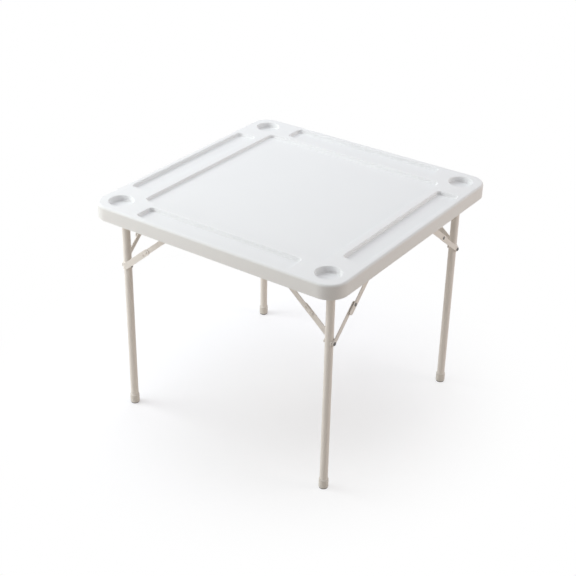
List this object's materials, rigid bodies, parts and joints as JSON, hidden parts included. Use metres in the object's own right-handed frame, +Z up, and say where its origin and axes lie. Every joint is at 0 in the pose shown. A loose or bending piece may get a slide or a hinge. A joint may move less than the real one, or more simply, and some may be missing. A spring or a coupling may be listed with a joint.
{
  "type": "folding game table",
  "caption": "Square folding game table: white moulded top with a recessed playing field, side trays and corner cup wells, on hinged tubular leg frames with struts and folding braces.",
  "frame": {"origin": "on the floor under the middle of the top", "axes": "+Z up from the floor to the top; X runs along the crossbars of the leg frames; the front frame stands at -Y and the rear frame at +Y"},
  "size_m": [0.88, 0.88, 0.735],
  "materials": {
    "top_plastic": "fine satin moulded white",
    "frame_paint": "off-white powder coat on steel tube and strip",
    "bracket_paint": "light grey powder coat on steel",
    "fastener_steel": "zinc plated",
    "cap_plastic": "light grey moulded plastic",
    "pad_rubber": "matt dark rubber"
  },
  "bodies": {
    "tabletop": {"bearing_screws": "fastener_steel", "brace_pivot_pins": "fastener_steel", "front_cross_rail": "bracket_paint", "front_left_brace_lug": "bracket_paint", "front_left_hinge_bearing": "bracket_paint", "front_right_brace_lug": "bracket_paint", "front_right_hinge_bearing": "bracket_paint", "left_side_rail": "bracket_paint", "lug_rivets": "fastener_steel", "rail_screws": "fastener_steel", "rear_cross_rail": "bracket_paint", "rear_left_brace_lug": "bracket_paint", "rear_left_hinge_bearing": "bracket_paint", "rear_right_brace_lug": "bracket_paint", "rear_right_hinge_bearing": "bracket_paint", "right_side_rail": "bracket_paint", "tabletop": "top_plastic"},
    "front_frame": {"front_crossbar": "frame_paint", "front_foot_pads": "pad_rubber", "front_left_foot_cap": "cap_plastic", "front_left_leg": "frame_paint", "front_left_saddle_strap": "frame_paint", "front_left_strut": "frame_paint", "front_leg_bolts": "fastener_steel", "front_leg_nuts": "fastener_steel", "front_right_foot_cap": "cap_plastic", "front_right_leg": "frame_paint", "front_right_saddle_strap": "frame_paint", "front_right_strut": "frame_paint", "front_strut_rivets": "fastener_steel"},
    "front_left_upper_link": {"front_left_elbow_rivet": "fastener_steel", "front_left_upper_brace_link": "frame_paint"},
    "front_left_lower_link": {"front_left_lower_brace_link": "frame_paint"},
    "front_right_upper_link": {"front_right_elbow_rivet": "fastener_steel", "front_right_upper_brace_link": "frame_paint"},
    "front_right_lower_link": {"front_right_lower_brace_link": "frame_paint"},
    "rear_frame": {"rear_crossbar": "frame_paint", "rear_foot_pads": "pad_rubber", "rear_left_foot_cap": "cap_plastic", "rear_left_leg": "frame_paint", "rear_left_saddle_strap": "frame_paint", "rear_left_strut": "frame_paint", "rear_leg_bolts": "fastener_steel", "rear_leg_nuts": "fastener_steel", "rear_right_foot_cap": "cap_plastic", "rear_right_leg": "frame_paint", "rear_right_saddle_strap": "frame_paint", "rear_right_strut": "frame_paint", "rear_strut_rivets": "fastener_steel"},
    "rear_left_upper_link": {"rear_left_elbow_rivet": "fastener_steel", "rear_left_upper_brace_link": "frame_paint"},
    "rear_left_lower_link": {"rear_left_lower_brace_link": "frame_paint"},
    "rear_right_upper_link": {"rear_right_elbow_rivet": "fastener_steel", "rear_right_upper_brace_link": "frame_paint"},
    "rear_right_lower_link": {"rear_right_lower_brace_link": "frame_paint"}
  },
  "joints": [
    {"name": "front_fold", "type": "hinge", "parent": "tabletop", "child": "front_frame", "pos_m": [0, -0.357, 0.69], "axis": [1, 0, 0], "range_deg": [0, 90]},
    {"name": "rear_fold", "type": "hinge", "parent": "tabletop", "child": "rear_frame", "pos_m": [0, 0.357, 0.659], "axis": [-1, 0, 0], "range_deg": [0, 90]},
    {"name": "front_left_upper_swing", "type": "hinge", "parent": "tabletop", "child": "front_left_upper_link", "pos_m": [-0.396, -0.162, 0.69], "axis": [1, 0, 0], "range_deg": [-42.87, 0]},
    {"name": "front_left_lower_swing", "type": "hinge", "parent": "front_frame", "child": "front_left_lower_link", "pos_m": [-0.3895, -0.357, 0.509], "axis": [1, 0, 0], "range_deg": [0, 47.13]},
    {"name": "front_right_upper_swing", "type": "hinge", "parent": "tabletop", "child": "front_right_upper_link", "pos_m": [0.396, -0.162, 0.69], "axis": [1, 0, 0], "range_deg": [-42.87, 0]},
    {"name": "front_right_lower_swing", "type": "hinge", "parent": "front_frame", "child": "front_right_lower_link", "pos_m": [0.3895, -0.357, 0.509], "axis": [1, 0, 0], "range_deg": [0, 47.13]},
    {"name": "rear_left_upper_swing", "type": "hinge", "parent": "tabletop", "child": "rear_left_upper_link", "pos_m": [-0.396, 0.162, 0.659], "axis": [-1, 0, 0], "range_deg": [0, 142.43]},
    {"name": "rear_left_lower_swing", "type": "hinge", "parent": "rear_frame", "child": "rear_left_lower_link", "pos_m": [-0.3895, 0.357, 0.509], "axis": [-1, 0, 0], "range_deg": [-127.57, 0]},
    {"name": "rear_right_upper_swing", "type": "hinge", "parent": "tabletop", "child": "rear_right_upper_link", "pos_m": [0.396, 0.162, 0.659], "axis": [-1, 0, 0], "range_deg": [0, 142.43]},
    {"name": "rear_right_lower_swing", "type": "hinge", "parent": "rear_frame", "child": "rear_right_lower_link", "pos_m": [0.3895, 0.357, 0.509], "axis": [-1, 0, 0], "range_deg": [-127.57, 0]}
  ],
  "couplings": [
    {"joint": "front_left_upper_swing", "follows": "front_fold", "ratio": -0.47631},
    {"joint": "front_left_lower_swing", "follows": "front_fold", "ratio": 0.52369},
    {"joint": "front_right_upper_swing", "follows": "front_fold", "ratio": -0.47631},
    {"joint": "front_right_lower_swing", "follows": "front_fold", "ratio": 0.52369},
    {"joint": "rear_left_upper_swing", "follows": "rear_fold", "ratio": 1.5826},
    {"joint": "rear_left_lower_swing", "follows": "rear_fold", "ratio": -1.4174},
    {"joint": "rear_right_upper_swing", "follows": "rear_fold", "ratio": 1.5826},
    {"joint": "rear_right_lower_swing", "follows": "rear_fold", "ratio": -1.4174}
  ]
}
